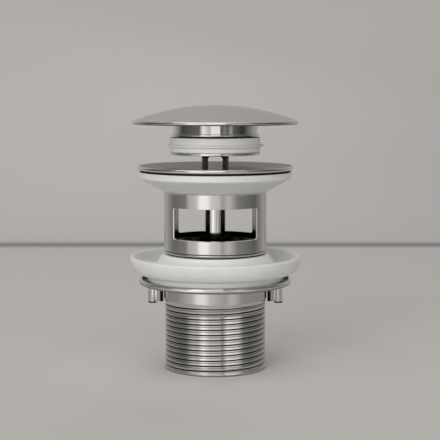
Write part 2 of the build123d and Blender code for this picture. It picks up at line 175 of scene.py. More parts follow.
def round_bar(centre, radius, direction, first, last, sides=48):
    """Round bar through centre along a direction, from first to last."""
    across = direction.orthogonal().normalized()
    up = direction.cross(across)
    turns = [2 * math.pi * side / sides for side in range(sides)]
    outline = [centre + radius * (across * math.cos(t) + up * math.sin(t)) for t in turns]
    return prism(outline, direction, first, last)


def combine(piece, tool, operation):
    """Cuts the tool out of the piece, or joins it on, and removes the tool."""
    step = piece.modifiers.new("combine", "BOOLEAN")
    step.object = tool
    step.operation = operation
    step.solver = "EXACT"
    shown = piece.evaluated_get(bpy.context.evaluated_depsgraph_get())
    piece.data = bpy.data.meshes.new_from_object(shown)
    piece.modifiers.clear()
    bpy.data.objects.remove(tool)


def dress(piece, node, edge=0.0):
    """The piece stands for a CAD node, in its finish, with softened edges and smooth shading."""
    mesh = piece.data
    mesh.materials.clear()
    mesh.materials.append(materials[slot_of[node]])
    mesh.shade_smooth()
    mesh.set_sharp_from_angle(angle=math.radians(SHARP_ANGLE))
    if edge:
        bevel = piece.modifiers.new("edges", "BEVEL")
        bevel.width = edge * MM
        bevel.segments = 2
        bevel.angle_limit = math.radians(BEVEL_ANGLE)
    piece.modifiers.new("normals", "WEIGHTED_NORMAL").keep_sharp = True
    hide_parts(node)
    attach(piece, body_of[node])


# Materials

ROUGHNESS = {
    "satin_steel": 0.13, "satin_tail": 0.13, "satin_cap": 0.38, "polished_steel": 0.07,
    "dark_steel": 0.34, "plain_steel": 0.28, "moulded_plastic": 0.45, "white_rubber": 0.42,
    "white_plastic": 0.36, "black_rubber": 0.6,
}
# How far the satin finishes stretch their reflections
BODY_STRETCH = 0.4
TAIL_STRETCH = 0.2
# Scales of the noises, per metre, depths of the marks in millimetres, and a noise's usual range
SATIN_MARKS = 5000
SATIN_CLOUDS = 180
SATIN_DEPTH = 0.0002
POLISH_MARKS = 3000
POLISH_SMUDGES = 260
WHITE_CLOUDS = 140
WHITE_GLOSS = 900
MOULD_GRAIN = 2600
MOULD_DEPTH = 0.01
PLAIN_CLOUDS = 500
PLAIN_GLOSS = 1200
NOISE_RANGE = (0.3, 0.7)


def new_material(name, color, metallic, roughness):
    material = bpy.data.materials.new(name)
    material.use_nodes = True
    shader = material.node_tree.nodes["Principled BSDF"]
    shader.inputs["Base Color"].default_value = (*color, 1)
    shader.inputs["Metallic"].default_value = metallic
    shader.inputs["Roughness"].default_value = roughness
    return material, shader


def add_node(material, kind, **values):
    """New node with the given properties and, for names with a capital, input values."""
    node = material.node_tree.nodes.new(kind)
    for name, value in values.items():
        if name[0].isupper():
            node.inputs[name].default_value = value
        else:
            setattr(node, name, value)
    return node


def link(material, output, target):
    material.node_tree.links.new(output, target)


def noise(material, scale, detail=3.0):
    """Noise through the whole piece, in the frame's metres."""
    place = add_node(material, "ShaderNodeTexCoord")
    texture = add_node(material, "ShaderNodeTexNoise", Scale=scale, Detail=detail)
    link(material, place.outputs["Object"], texture.inputs["Vector"])
    return texture.outputs["Fac"]


def axis_place(material):
    """Outputs with a point's radius from the axis and its height, in the frame's metres."""
    place = add_node(material, "ShaderNodeTexCoord")
    flat = add_node(material, "ShaderNodeVectorMath", operation="MULTIPLY")
    flat.inputs[1].default_value = (1, 1, 0)
    radius = add_node(material, "ShaderNodeVectorMath", operation="LENGTH")
    split = add_node(material, "ShaderNodeSeparateXYZ")
    link(material, place.outputs["Object"], flat.inputs[0])
    link(material, flat.outputs["Vector"], radius.inputs[0])
    link(material, place.outputs["Object"], split.inputs[0])
    return radius.outputs["Value"], split.outputs["Z"]


def behind(material, edge, softness):
    """Mask that is 1 behind a plane across the front-to-back axis, both in millimetres."""
    place = add_node(material, "ShaderNodeTexCoord")
    split = add_node(material, "ShaderNodeSeparateXYZ")
    link(material, place.outputs["Object"], split.inputs[0])
    return beyond(material, split.outputs["Y"], edge, softness)


def join(material, operation, first, second):
    """Output of a sum, product or the like of two outputs."""
    step = add_node(material, "ShaderNodeMath", operation=operation)
    link(material, first, step.inputs[0])
    link(material, second, step.inputs[1])
    return step.outputs["Value"]


def mapped(material, source, first, last, lowest, highest):
    """Output that goes from lowest to highest as the source goes from first to last."""
    span = add_node(material, "ShaderNodeMapRange")
    span.inputs["From Min"].default_value = first
    span.inputs["From Max"].default_value = last
    span.inputs["To Min"].default_value = lowest
    span.inputs["To Max"].default_value = highest
    link(material, source, span.inputs["Value"])
    return span.outputs["Result"]


def within(material, source, edge, softness):
    """Mask that is 1 below an edge and 0 above it, both in millimetres."""
    return mapped(material, source, (edge - softness) * MM, (edge + softness) * MM, 1, 0)


def beyond(material, source, edge, softness):
    """Mask that is 0 below an edge and 1 above it, both in millimetres."""
    return mapped(material, source, (edge - softness) * MM, (edge + softness) * MM, 0, 1)


def both(material, *masks):
    """Mask that is 1 where all of the masks are."""
    result = masks[0]
    for mask in masks[1:]:
        result = join(material, "MULTIPLY", result, mask)
    return result


def turning_marks(material, per_metre):
    """Noise in fine rings round the axis, as a lathe leaves them."""
    radius, height = axis_place(material)
    rings = add_node(
        material, "ShaderNodeTexNoise", noise_dimensions="1D", Scale=per_metre, Detail=4.0
    )
    link(material, join(material, "ADD", radius, height), rings.inputs["W"])
    return rings.outputs["Fac"]


def spread(material, source, lowest, highest, target):
    """Feeds a noise to a number socket, within a range."""
    link(material, mapped(material, source, *NOISE_RANGE, lowest, highest), target)


def tint(material, source, dark, light, target):
    """Maps a 0 to 1 source to a range of colours."""
    ramp = add_node(material, "ShaderNodeValToRGB")
    ramp.color_ramp.elements[0].position = NOISE_RANGE[0]
    ramp.color_ramp.elements[0].color = (*dark, 1)
    ramp.color_ramp.elements[1].position = NOISE_RANGE[1]
    ramp.color_ramp.elements[1].color = (*light, 1)
    link(material, source, ramp.inputs["Fac"])
    link(material, ramp.outputs["Color"], target)


def emboss(material, source, depth, shader):
    bump = add_node(material, "ShaderNodeBump", Strength=1.0, Distance=depth * MM)
    link(material, source, bump.inputs["Height"])
    link(material, bump.outputs["Normal"], shader.inputs["Normal"])


def shade(color, factor):
    return tuple(channel * factor for channel in color)


def overlay(material, mask, color, roughness):
    """Gives the material another colour and roughness where the mask is 1."""
    shader = material.node_tree.nodes["Principled BSDF"]
    # Kind of mix, then its two inputs and its output by number
    for name, value, kind, before, after, result in (
        ("Base Color", (*color, 1), "RGBA", 6, 7, 2),
        ("Roughness", roughness, "FLOAT", 2, 3, 0),
    ):
        target = shader.inputs[name]
        mix = add_node(material, "ShaderNodeMix", data_type=kind)
        link(material, mask, mix.inputs[0])
        link(material, target.links[0].from_socket, mix.inputs[before])
        mix.inputs[after].default_value = value
        link(material, mix.outputs[result], target)


def satin_metal(name, color, stretch):
    """Turned satin steel: rings of fine marks that stretch its reflections along the axis."""
    roughness = ROUGHNESS[name]
    material, shader = new_material(name, color, 1.0, roughness)
    shader.inputs["Anisotropic"].default_value = stretch
    shader.inputs["Anisotropic Rotation"].default_value = 0.25
    around = add_node(material, "ShaderNodeTangent", direction_type="RADIAL", axis="Z")
    link(material, around.outputs["Tangent"], shader.inputs["Tangent"])
    rings = turning_marks(material, SATIN_MARKS)
    tint(material, rings, shade(color, 0.93), shade(color, 1.05), shader.inputs["Base Color"])
    spread(material, noise(material, SATIN_CLOUDS), roughness * 0.95, roughness * 1.06,
           shader.inputs["Roughness"])
    emboss(material, rings, SATIN_DEPTH, shader)
    return material


def overlay_all(material, color, looks, masks):
    """Overlays each named look, a share of the colour and a roughness, where its mask is 1."""
    for place, (share, roughness) in looks.items():
        overlay(material, masks[place], shade(color, share), roughness)


def body_metal(name, color):
    """Satin steel with painted shade in the bore, in the groove under the tube and under the
    flange's rim, less deep on the back jambs; painted shade and a rougher finish in the dish;
    painted light on the rough seat; painted highlights on the polished rim and on the tube's bead.
    """
    material = satin_metal(name, color, BODY_STRETCH)
    radius, height = axis_place(material)
    above = beyond(material, height, dish_bottom, 0.4)
    below = within(material, height, dish_bottom, 0.4)
    bore = both(material, within(material, radius, bore_edge, 0.2), below)
    rim_under = within(material, height, high("upper_body") - rim_depth, 0.2)
    masks = {
        "bead": both(
            material,
            beyond(material, height, bead_low, 0.1), within(material, height, bead_high, 0.1),
        ),
        "bore": bore,
        "jamb": both(
            material, bore,
            behind(material, jamb_place, 0.3), beyond(material, height, well_top, 0.8),
        ),
        "groove": both(
            material,
            within(material, radius, groove_edge, 0.1), beyond(material, radius, bore_edge, 0.1),
            beyond(material, height, groove_low, 0.05), within(material, height, groove_high, 0.05),
        ),
        "dish": above,
        "seat": both(material, within(material, radius, seat_edge, 0.4), above),
        "rim": both(material, beyond(material, radius, dish_edge, 0.15), above),
        "under": both(material, above, beyond(material, radius, seat_edge, 0.1), rim_under),
    }
    # Painted shade and light laid over the satin colour, with the rougher dish and seat and the
    # polished rim and bead
    overlay_all(material, color, BODY_LOOKS, masks)
    return material


def tail_metal(name, color):
    """Satin steel with painted shade that deepens from below the crests into the thread roots and
    lies in the fine groove along the crests, and a painted shadow along its foot.
    """
    material = satin_metal(name, color, TAIL_STRETCH)
    radius, height = axis_place(material)
    masks = {
        "crest": within(material, radius, crest_edge, 0.015),
        "line": within(material, radius, line_edge, 0.02),
        "root": within(material, radius, root_edge, 0.12),
        "foot": within(material, height, tail_foot, 0.1),
    }
    # Painted shade in the thread and a painted shadow at the foot
    overlay_all(material, color, TAIL_LOOKS, masks)
    return material


def cap_metal(name, color):
    """Evenly soft satin steel, its colour raised as painted light, with a polished rim that carries
    a painted highlight and painted shade along the rim's foot.
    """
    material = satin_metal(name, shade(color, CAP_SHARE), 0.0)
    radius, height = axis_place(material)
    rim = beyond(material, radius, cap_polish, 0.15)
    foot = within(material, height, low("plug_cap") + cap_foot, 0.1)
    # Painted highlight on the rim and painted shade along its foot
    overlay_all(material, color, CAP_LOOKS, {"rim": rim, "foot": both(material, rim, foot)})
    return material


def polished_metal(name, color):
    """Bright steel with faint handling marks."""
    roughness = ROUGHNESS[name]
    material, shader = new_material(name, color, 1.0, roughness)
    tint(material, turning_marks(material, POLISH_MARKS), shade(color, 0.97), shade(color, 1.02),
         shader.inputs["Base Color"])
    spread(material, noise(material, POLISH_SMUDGES), roughness * 0.7, roughness * 1.5,
           shader.inputs["Roughness"])
    return material


def nut_metal(name, color):
    """Polished steel with painted shade: darker and rougher on the nut's webs, darker under the
    bead, dark in its dish and black at the lugs' bottom ends and inner ends.
    """
    material = polished_metal(name, color)
    radius, height = axis_place(material)
    lugs = within(material, height, lug_root, 0.1)
    masks = {
        "web": both(material, lugs, within(material, radius, lug_web, 0.1)),
        "below": both(
            material,
            beyond(material, radius, bead_outer, 0.1), within(material, height, bead_shade, 0.2),
        ),
        "dish": both(
            material, within(material, radius, bead_inner, 0.1),
            beyond(material, height, dish_low, 0.1), within(material, height, nut_line, 0.3),
        ),
        "foot": within(material, height, lug_foot, 0.1),
        "inner": both(material, lugs, within(material, radius, lug_inner, 0.1)),
    }
    # Painted shade on the webs, under the bead, in the dish and at the lugs' ends
    overlay_all(material, color, NUT_LOOKS, masks)
    return material


def sleeve_metal(name, color):
    """Dark satin steel, darkened further as painted shade, and nearly black with painted shade at
    the sleeve's top and inside the waste.
    """
    material = plain_surface(name, shade(color, SLEEVE_SHARE), 1.0)
    _, height = axis_place(material)
    masks = {
        "top": beyond(material, height, sleeve_shade, 0.5),
        "inside": within(material, height, sleeve_depth, 1.0),
    }
    # Painted shade at the top and inside the waste
    overlay_all(material, color, SLEEVE_LOOKS, masks)
    return material


def soft_white(name, color):
    """White silicone or plastic, slightly cloudy, with a fine moulded surface."""
    roughness = ROUGHNESS[name]
    material, shader = new_material(name, color, 0.0, roughness)
    shader.inputs["Subsurface Weight"].default_value = 0.08
    shader.inputs["Subsurface Radius"].default_value = (1.2 * MM, 1.0 * MM, 0.9 * MM)
    shader.inputs["Subsurface Scale"].default_value = 1.0
    tint(material, noise(material, WHITE_CLOUDS), shade(color, 0.96), shade(color, 1.02),
         shader.inputs["Base Color"])
    spread(material, noise(material, WHITE_GLOSS), roughness * 0.9, roughness * 1.15,
           shader.inputs["Roughness"])
    emboss(material, noise(material, MOULD_GRAIN), MOULD_DEPTH, shader)
    return material


def seal_rubber(name, color):
    """White silicone, toned down as painted shade, with painted light on the plug seal and inside
    the cup, and painted shade in the gaps above the bands.
    """
    material = soft_white(name, shade(color, SEAL_SHARE))
    radius, height = axis_place(material)
    masks = {
        "plug": beyond(material, height, plug_seal_low, 0.5),
        "cup": both(
            material, within(material, radius, cup_inside, 0.2),
            within(material, height, high("cup_seal") + cup_above, 0.3),
            beyond(material, height, low("cup_seal") + cup_floor, 0.2),
        ),
    }
    # Painted light on the plug seal and inside the cup
    overlay_all(material, color, SEAL_LOOKS, masks)
    # Painted shade in the gaps above the bands
    for node, gap, edge in SEAL_GAPS:
        top = high(node)
        mask = both(
            material, within(material, radius, edge, 0.1),
            beyond(material, height, top - gap - gap_softness, gap_softness),
            within(material, height, top + gap_above, 0.1),
        )
        overlay(material, mask, shade(color, GAP_SHARE), 0.6)
    return material


def plain_surface(name, color, metallic):
    """Plain metal, plastic or rubber, slightly cloudy."""
    roughness = ROUGHNESS[name]
    material, shader = new_material(name, color, metallic, roughness)
    tint(material, noise(material, PLAIN_CLOUDS), shade(color, 0.9), shade(color, 1.06),
         shader.inputs["Base Color"])
    spread(material, noise(material, PLAIN_GLOSS), roughness * 0.85, roughness * 1.2,
           shader.inputs["Roughness"])
    return material


# Radii and heights where one finish, or one patch of painted light or shade, meets another
bore_edge = 19.2
dish_edge = 30.6
dish_bottom = 76.6
rim_depth = 1.5
seat_edge = 20.9
groove_edge = 20.3
groove_low = 47.7
groove_high = 48.02
well_top = 54.2
jamb_place = 9.0
bead_low = 71.1
bead_high = 71.55
crest_edge = 20.275
line_edge = 20.21
root_edge = 20.0
tail_foot = 0.3
cap_polish = 32.4
cap_foot = 0.55
sleeve_shade = 84.8
sleeve_depth = 76.0
lug_foot = 26.65
lug_inner = 22.4
lug_web = 23.8
lug_root = 34.1
dish_low = 34.4
bead_inner = 29.7
bead_shade = 35.0
bead_outer = 29.0
nut_line = 39.0
plug_seal_low = 84.0
cup_inside = 32.75
cup_above = 0.5
cup_floor = 1.5
gap_softness = 0.04
gap_above = 0.3
# Seals with a gap above their band, dark with painted shade: its height, and the radius that it
# reaches
SEAL_GAPS = (("flange_seal", 0.75, 30.5), ("plug_seal", 0.7, 17.7))
# Looks of places on each finish, laid over one another in this order: a share of the slot's
# colour, and a roughness. Shares below 1 are painted shade, and shares above 1 painted light and
# highlights
BODY_LOOKS = {
    "bead": (1.25, 0.08), "bore": (0.1, 0.12), "jamb": (0.8, 0.3), "groove": (0.05, 0.4),
    "dish": (0.64, 0.45), "seat": (1.45, 0.9), "rim": (1.15, 0.1), "under": (0.03, 0.6),
}
TAIL_LOOKS = {"crest": (0.75, 0.2), "line": (0.5, 0.2), "root": (0.12, 0.2), "foot": (0.1, 0.4)}
CAP_LOOKS = {"rim": (1.2, 0.1), "foot": (0.1, 0.3)}
NUT_LOOKS = {
    "web": (0.4, 0.3), "below": (0.4, 0.1), "dish": (0.08, 0.3),
    "foot": (0.01, 0.35), "inner": (0.01, 0.35),
}
SLEEVE_LOOKS = {"top": (0.08, 0.4), "inside": (0.08, 0.4)}
SEAL_LOOKS = {"plug": (1.03, 0.42), "cup": (1.02, 0.42)}
# Shares of the slot's colour on whole finishes: below 1 painted shade, above 1 painted light
CAP_SHARE = 1.15
SLEEVE_SHARE = 0.6
SEAL_SHARE = 0.93
GAP_SHARE = 0.04
WASHER_SHARE = 1.26

color_of = {entry["slot"]: entry["base_color"] for entry in record["materials"]}
materials = {
    "satin_steel": body_metal("satin_steel", color_of["satin_steel"]),
    "satin_tail": tail_metal("satin_tail", color_of["satin_tail"]),
    "satin_cap": cap_metal("satin_cap", color_of["satin_cap"]),
    "polished_steel": nut_metal("polished_steel", color_of["polished_steel"]),
    "dark_steel": sleeve_metal("dark_steel", color_of["dark_steel"]),
    "plain_steel": plain_surface("plain_steel", color_of["plain_steel"], 1.0),
    "moulded_plastic": plain_surface("moulded_plastic", color_of["moulded_plastic"], 0.0),
    "white_rubber": seal_rubber("white_rubber", color_of["white_rubber"]),
    # The washer's colour is raised as painted light
    "white_plastic": soft_white("white_plastic", shade(color_of["white_plastic"], WASHER_SHARE)),
    "black_rubber": plain_surface("black_rubber", color_of["black_rubber"], 0.0),
}
for node, piece in frame["nodes"].items():
    piece.data.materials.clear()
    piece.data.materials.append(materials[slot_of[node]])


# Tail piece: trap thread, relief, plain band and socket

thread_pitch = 2.046
thread_depth = 0.72
crest_drop = 0.45
base_height = 0.95
first_groove = 2.08
thread_start = 1.1
thread_end = 27.1
thread_fade = 0.7
relief_top = 28.3
relief_depth = 0.44
relief_slope = 0.2
socket_radius = 19.1
socket_floor = 20.5
outlet_radius = 17.4
FRONT_TURN = 0.75
# Place in one pitch above a groove's middle, and depth there, both as shares
THREAD_FORM = (
    (0.0, 1.0), (0.03, 0.97), (0.1, 0.2), (0.14, 0.03), (0.2, 0.0), (0.48, 0.0),
    (0.53, 0.17), (0.63, 0.17), (0.68, 0.07), (0.86, 0.08), (0.9, 0.2), (0.97, 0.97),
)


def thread_row(turns, share, crest):
    """One row of the thread's skin, a helix that starts at a number of turns up the tail."""

    def at(turn):
        height = first_groove + (turns + turn - FRONT_TURN) * thread_pitch
        height = min(max(height, thread_start), thread_end)
        run_in = min(1, (height - thread_start) / thread_fade)
        run_out = min(1, (thread_end - height) / thread_fade)
        return crest - thread_depth * share * min(run_in, run_out), height

    return at


def make_tail():
    radius, top = reach("tail_piece"), high("tail_piece")
    crest = radius - crest_drop
    below = math.ceil((first_groove - thread_start) / thread_pitch) + 1
    above = math.ceil((thread_end - first_groove) / thread_pitch) + 1
    thread = [
        thread_row(turns + place, share, crest)
        for turns in range(-below, above + 1)
        for place, share in THREAD_FORM
    ]
    plain = rounded([
        (crest, thread_end, 0),
        (radius - relief_depth, thread_end + relief_slope, 0.1),
        (radius - relief_depth, relief_top, 0.1),
        (radius, relief_top, 0.12),
        (radius, top, 0.4),
        (socket_radius, top, 0.3),
        (socket_radius, socket_floor, 0.2),
        (outlet_radius, socket_floor, 0.2),
        (outlet_radius, 0, 0.3),
        (radius, 0, 0.3),
        (radius, base_height, 0.2),
        (crest, base_height, 0),
        (crest, thread_start, 0),
    ])
    piece = revolve("tail_piece_threaded", plain + thread)
    dress(piece, "tail_piece")


make_tail()


# Ring nut: dished floor, bead rim, hub and two lugs

bead_width = 1.5
bead_height = 2.3
nut_floor = 1.2
nut_hub_height = 3.8
hub_radius = 22.2
lug_circle = 25.5
lug_radius = 1.7
lug_length = 8.1
web_length = 7.5
web_half = 1.2
web_inner = 21.1
JOIN = 0.4


def make_ring_nut():
    radius, top = reach("ring_nut"), high("ring_nut")
    floor = top - nut_hub_height
    bead = radius - bead_width / 2
    rows = [Vector((socket_radius, floor))]
    half = (bead_width / 2, bead_height / 2)
    rows += arc((bead, floor + half[1]), half, -90, 190, steps=24)
    rows += rounded([
        (bead - bead_width / 2, floor + nut_floor, 0),
        (hub_radius, floor + nut_floor, 0.2),
        (hub_radius, top, 0.2),
        (socket_radius, top, 0.2),
    ])[1:]
    piece = revolve("ring_nut_turned", rows)
    down = Vector((0, 0, -1))
    for side in (-1, 1):
        spot = Vector((side * lug_circle, 0, floor))
        combine(piece, round_bar(spot, lug_radius, down, -JOIN, lug_length), "UNION")
        web = [
            Vector((side * web_inner, -web_half, floor)),
            Vector((side * lug_circle, -web_half, floor)),
            Vector((side * lug_circle, web_half, floor)),
            Vector((side * web_inner, web_half, floor)),
        ]
        combine(piece, prism(web, down, -JOIN, web_length), "UNION")
    dress(piece, "ring_nut", edge=0.18)


make_ring_nut()


# Slip washer and cup seal

washer_clearance = 0.2


def make_slip_washer():
    radius, floor, top = reach("slip_washer"), low("slip_washer"), high("slip_washer")
    inner = hub_radius + washer_clearance
    rows = rounded([
        (inner, floor, 0.2), (radius, floor, 0.6), (radius, top, 0.6), (inner, top, 0.2),
    ])
    dress(revolve("slip_washer_moulded", rows), "slip_washer")


make_slip_washer()

cup_wall = 1.9
cup_belly_width = 4.8
cup_belly_height = 6.2
cup_hub_radius = 21.2
cup_hub_foot = 25.4
cup_bore = 19.1


def make_cup_seal():
    radius, floor, top = reach("cup_seal"), low("cup_seal"), high("cup_seal")
    belly = radius - cup_belly_width
    widest = floor + cup_belly_height
    lip = cup_wall / 2
    rows = [Vector((cup_bore, floor))]
    rows += arc((belly, widest), (cup_belly_width, cup_belly_height), -90, 0, steps=28)
    rows += arc((radius - lip, widest), (lip, lip), 0, 180, steps=14)[1:-1]
    rows += arc(
        (belly, widest), (cup_belly_width - cup_wall, cup_belly_height - cup_wall), 0, -90, steps=24
    )
    rows += rounded([
        (belly, floor + cup_wall, 0),
        (cup_hub_foot, floor + cup_wall, 2.0),
        (cup_hub_radius, top, 0.5),
        (cup_bore, top, 0.3),
        (cup_bore, floor, 0),
    ])[1:-1]
    dress(revolve("cup_seal_moulded", rows), "cup_seal")


make_cup_seal()


# Waste body: neck, collar, windowed tube, flange with plug seat, and spider

neck_radius = 19.0
neck_bottom = 21.9
collar_radius = 20.45
collar_bottom = 46.9
collar_top = groove_low
groove_radius = 19.9
skirt_bottom = groove_high
tube_radius = 20.66
tube_bottom = 49.05
bore_radius = 18.8
flange_thickness = 1.6
flange_dish = 1.3
cone_foot = 77.46
cone_head = 24.58
seat_foot = 76.89
mouth_radius = 20.38
tube_bead = 0.14
bead_rise = 0.2
bead_fall = 0.1
window_width = 32.2
window_flat = 33.1
back_window_width = 30.4
window_bottom = 53.15
window_top = 65.7
window_corner = 0.8
spider_height = 3.0
spider_radius = 6.5
spider_hole = 3.1
spider_arm = 3.4
spider_root = 0.6


def make_upper_body():
    radius, top = reach("upper_body"), high("upper_body")
    under = top - flange_thickness
    rim = flange_thickness / 2
    rows = rounded([
        (outlet_radius, neck_bottom, 0.3),
        (neck_radius, neck_bottom, 0.4),
        (neck_radius, collar_bottom, 0.1),
        (collar_radius, collar_bottom, 0.15),
        (collar_radius, collar_top, 0.1),
        (groove_radius, collar_top, 0.05),
        (groove_radius, skirt_bottom, 0.05),
        (tube_radius, skirt_bottom, 0.15),
        (tube_radius, bead_low, 0.05),
        (tube_radius + tube_bead, bead_low + bead_rise, 0.15),
        (tube_radius + tube_bead, bead_high - bead_fall, 0.1),
        (tube_radius, bead_high, 0.05),
        (tube_radius, cone_foot, 0.3),
        (cone_head, under, 0.3),
        (radius - rim, under, 0),
    ])
    rows += arc((radius - rim, under + rim), (rim, rim), -90, 90, steps=10)[1:]
    rows += rounded([
        (radius - rim, top, 0),
        (mouth_radius, top - flange_dish, 0.8),
        (bore_radius, seat_foot, 1.0),
        (bore_radius, tube_bottom + tube_radius - bore_radius, 0.4),
        (outlet_radius, tube_bottom, 0.4),
        (outlet_radius, neck_bottom, 0),
    ])[1:-1]
    piece = revolve("upper_body_turned", rows)
    opening = (window_bottom, window_top, window_corner)
    combine(piece, window_tool(window_width, *opening, back=0), "DIFFERENCE")
    combine(piece, window_tool(back_window_width, *opening, front=0), "DIFFERENCE")
    flat = math.sqrt(tube_radius**2 - (window_flat / 2) ** 2) / radius
    combine(piece, window_tool(window_flat, *opening, back=-flat), "DIFFERENCE")
    up = Vector((0, 0, 1))
    hub = Vector((0, 0, tube_bottom - spider_height))
    spider = round_bar(hub, spider_radius, up, 0, spider_height)
    for quarter in range(2):
        along = Vector((1, 1 - 2 * quarter, 0)).normalized() * (outlet_radius + spider_root)
        aside = along.cross(up).normalized() * spider_arm / 2
        bar = [hub - along - aside, hub + along - aside, hub + along + aside, hub - along + aside]
        combine(spider, prism(bar, up, 0, spider_height), "UNION")
    combine(spider, round_bar(hub, spider_hole, up, -1, spider_height + 1), "DIFFERENCE")
    combine(piece, spider, "UNION")
    dress(piece, "upper_body", edge=0.12)


make_upper_body()


# Flange seal

seal_gap = 0.75
seal_band = 2.35
seal_chamfer = 0.5
seal_ledge = 4.2
seal_tip = 0.35
seal_clearance = 0.1


def make_flange_seal():
    radius, floor, top = reach("flange_seal"), low("flange_seal"), high("flange_seal")
    inner = tube_radius + seal_clearance
    band_top = top - seal_gap
    band_bottom = band_top - seal_band
    rows = rounded([
        (inner, floor, 0),
        (inner + seal_tip, floor, 0.12),
        (radius - seal_chamfer, band_bottom - seal_chamfer, 0.4),
        (radius, band_bottom, 0.25),
        (radius, band_top, 0.3),
        (radius - seal_ledge, band_top, 0.2),
        (radius - seal_ledge, top, 0.1),
        (cone_head + seal_clearance, top, 0),
        (inner, cone_foot, 0),
    ])
    dress(revolve("flange_seal_moulded", rows), "flange_seal")


make_flange_seal()


# Plug: retainer, seal, boss, cap and the sliding sleeve

retainer_hub = 11.8
retainer_bore = 8.05
retainer_thickness = 1.0
spanner_circle = 14.95
spanner_radius = 1.0
spanner_depth = 0.6


def make_seal_retainer():
    radius, floor, top = reach("seal_retainer"), low("seal_retainer"), high("seal_retainer")
    plate = floor + retainer_thickness
    rows = rounded([
        (retainer_bore, floor, 0.2),
        (radius, floor, 0.2),
        (radius, plate, 0.12),
        (retainer_hub, plate, 0.1),
        (retainer_hub, top, 0.2),
        (retainer_bore, top, 0.2),
    ])
    piece = revolve("seal_retainer_turned", rows)
    for side in (-1, 1):
        spot = Vector((side * spanner_circle, 0, floor))
        hole = round_bar(spot, spanner_radius, Vector((0, 0, 1)), -1, spanner_depth)
        combine(piece, hole, "DIFFERENCE")
    dress(piece, "seal_retainer")


make_seal_retainer()

plug_seal_radius = 18.0
plug_seal_bore = 11.9
lip_height = 2.55
lip_half = 0.35
lip_root = 0.48
seal_shoulder = 0.7
seal_shoulder_radius = 14.0


def make_plug_seal():
    tip, floor, top = reach("plug_seal"), low("plug_seal"), high("plug_seal")
    lip = floor + lip_height
    rows = rounded([
        (plug_seal_bore, floor, 0.2),
        (plug_seal_radius, floor, 0.45),
        (plug_seal_radius, lip - lip_root, 0.15),
        (tip, lip - lip_half, 0.2),
        (tip, lip + lip_half, 0.2),
        (plug_seal_radius, lip + lip_root, 0.15),
        (plug_seal_radius, top - seal_shoulder, 0.35),
        (seal_shoulder_radius, top - seal_shoulder, 0.2),
        (seal_shoulder_radius, top, 0.1),
        (plug_seal_bore, top, 0.2),
    ])
    dress(revolve("plug_seal_moulded", rows), "plug_seal")


make_plug_seal()

neck_lip_thickness = 0.75
plug_neck_radius = 16.9
spigot_radius = 8.0
sleeve_socket = 5.45
stud_hole = 3.05
stud_pocket = 4.2
socket_roof = 5.4


def make_plug_boss():
    radius, floor, top = reach("plug_boss"), low("plug_boss"), high("plug_boss")
    lip_bottom = high("plug_seal")
    lip_top = lip_bottom + neck_lip_thickness
    rows = rounded([
        (0, top - socket_roof, 0),
        (sleeve_socket, top - socket_roof, 0.2),
        (sleeve_socket, floor, 0.2),
        (spigot_radius, floor, 0.3),
        (spigot_radius, lip_bottom, 0.1),
        (radius, lip_bottom, 0.1),
        (radius, lip_top, 0.1),
        (plug_neck_radius, lip_top, 0.1),
        (plug_neck_radius, top, 0.15),
        (stud_hole, top, 0.2),
        (stud_hole, top - stud_pocket, 0.1),
        (0, top - stud_pocket, 0),
    ])
    dress(revolve("plug_boss_turned", rows), "plug_boss")


make_plug_boss()

cap_edge_height = 1.7
cap_rim_lift = 0.2
cap_rim_width = 3.4
cap_wall = 2.3
cap_land = 20.0
cap_stud_pocket = 4.6


def make_plug_cap():
    radius, floor, apex = reach("plug_cap"), low("plug_cap"), high("plug_cap")
    edge_top = floor + cap_edge_height
    edge_bottom = floor + cap_rim_lift
    half = (edge_top - edge_bottom) / 2
    dome_edge = radius - cap_edge_height / 2
    rise = apex - edge_top
    dome = (dome_edge**2 + rise**2) / (2 * rise)
    centre = apex - dome
    ceiling = dome - cap_wall
    hollow = radius - cap_rim_width
    dome_angle = math.degrees(math.asin(dome_edge / dome))
    hollow_angle = math.degrees(math.asin(hollow / ceiling))
    land_angle = math.degrees(math.asin(cap_land / ceiling))
    rows = arc((0, centre), (dome, dome), 90, 90 - dome_angle, steps=40)
    rows += arc((dome_edge, edge_bottom + half), (radius - dome_edge, half), 80, -90, steps=14)
    rim = [(dome_edge, edge_bottom, 0), (hollow, edge_bottom, 0.4), (hollow, apex, 0)]
    rows += rounded(rim)[1:-1]
    rows += arc((0, centre), (ceiling, ceiling), 90 - hollow_angle, 90 - land_angle, steps=10)
    rows += rounded([
        (cap_land, apex, 0),
        (cap_land, floor, 0.3),
        (stud_hole, floor, 0.2),
        (stud_hole, floor + cap_stud_pocket, 0.1),
        (0, floor + cap_stud_pocket, 0),
    ])[1:]
    dress(revolve("plug_cap_turned", rows), "plug_cap")


make_plug_cap()

sleeve_bore = 4.25
sleeve_window_width = 5.8
sleeve_window_bottom = 78.5
sleeve_window_top = 85.5
sleeve_window_corner = 1.2
pin_height = 73.5
pin_hole = 1.02


def make_slide_sleeve():
    radius, floor, top = reach("slide_sleeve"), low("slide_sleeve"), high("slide_sleeve")
    rows = rounded([
        (sleeve_bore, floor, 0.2),
        (radius, floor, 0.25),
        (radius, top, 0.25),
        (sleeve_bore, top, 0.2),
    ])
    piece = revolve("slide_sleeve_cut", rows)
    window = window_tool(
        sleeve_window_width, sleeve_window_bottom, sleeve_window_top, sleeve_window_corner
    )
    combine(piece, window, "DIFFERENCE")
    spot = Vector((0, 0, pin_height))
    hole = round_bar(spot, pin_hole, Vector((1, 0, 0)), -radius - 1, radius + 1)
    combine(piece, hole, "DIFFERENCE")
    dress(piece, "slide_sleeve", edge=0.1)


make_slide_sleeve()


# Return spring: closed coil at each end, built in one shape, though the plug presses it together as
# it goes down

spring_wire = 0.3
spring_turns = 8
closed_rise = 0.64
coil_steps = 48
wire_sides = 12


